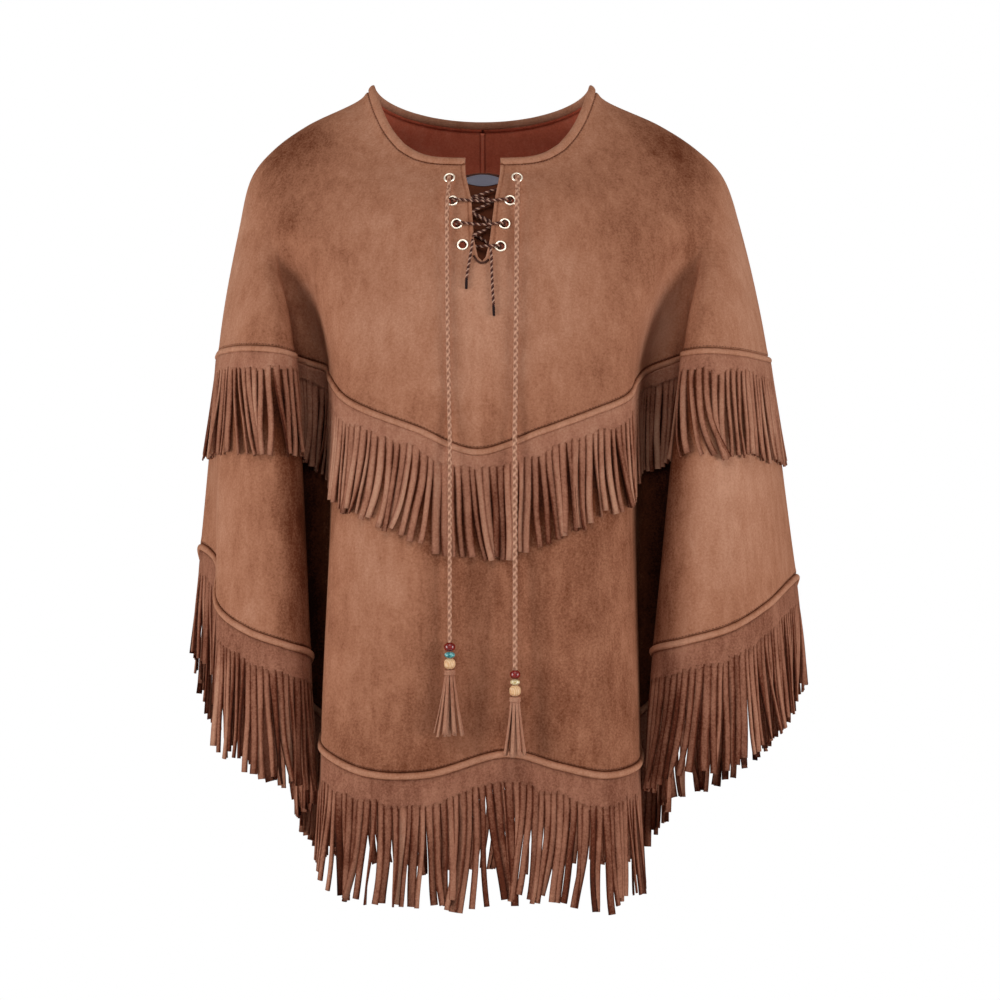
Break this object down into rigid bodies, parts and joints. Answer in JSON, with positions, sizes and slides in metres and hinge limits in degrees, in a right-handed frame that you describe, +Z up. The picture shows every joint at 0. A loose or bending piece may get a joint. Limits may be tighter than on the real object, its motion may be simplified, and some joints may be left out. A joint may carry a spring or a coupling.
{
  "type": "fringed poncho",
  "caption": "Worn suede poncho with a laced neck slit, a pointed yoke seam with cut fringe, a fringed hem, and two drawcords ending in beads and tassels",
  "frame": {"origin": "the middle of the neck opening, level with the tops of the shoulders, where a wearer holds the garment up", "axes": "+Z up, the front of the garment faces -Y, +X is the wearer's left"},
  "size_m": [0.5633, 0.3394, 0.7446],
  "materials": {
    "suede": "brushed tan suede",
    "suede_fringe": "cut tan suede",
    "piping": "suede rolled over a cord",
    "tongue": "dark brown woven",
    "ribbon": "blank grey satin",
    "eyelet": "pale nickel-plated",
    "lace": "twisted dark brown and tan cord",
    "drawcord": "braided tan cord",
    "red_bead": "glossy deep red",
    "turquoise_bead": "glossy turquoise",
    "pale_bead": "glossy cream with gold rings",
    "wood_bead": "satin pale wood"
  },
  "bodies": {
    "root": {"yoke_front": "suede", "yoke_back_right": "suede", "yoke_back_left": "suede", "skirt_front": "suede", "skirt_back_right": "suede", "skirt_back_left": "suede", "neck_binding": "piping", "yoke_piping": "piping", "hem_piping": "piping", "yoke_fringe_front": "suede_fringe", "yoke_fringe_back_right": "suede_fringe", "yoke_fringe_back_left": "suede_fringe", "hem_fringe_front": "suede_fringe", "hem_fringe_back_right": "suede_fringe", "hem_fringe_back_left": "suede_fringe", "slit_tongue": "tongue", "tongue_ribbon": "ribbon", "eyelet_right_1": "eyelet", "eyelet_right_2": "eyelet", "eyelet_right_3": "eyelet", "eyelet_right_4": "eyelet", "eyelet_left_1": "eyelet", "eyelet_left_2": "eyelet", "eyelet_left_3": "eyelet", "eyelet_left_4": "eyelet", "lacing": "lace", "lace_tail_right": "lace", "lace_tail_left": "lace", "drawcord_root_right": "drawcord", "drawcord_root_left": "drawcord", "drawcord_right": "drawcord", "drawcord_left": "drawcord", "bead_red_right": "red_bead", "bead_turquoise_right": "turquoise_bead", "bead_wood_right": "wood_bead", "bead_red_left": "red_bead", "bead_pale_left": "pale_bead", "bead_wood_left": "wood_bead", "tassel_right": "suede_fringe", "tassel_left": "suede_fringe"}
  },
  "joints": []
}
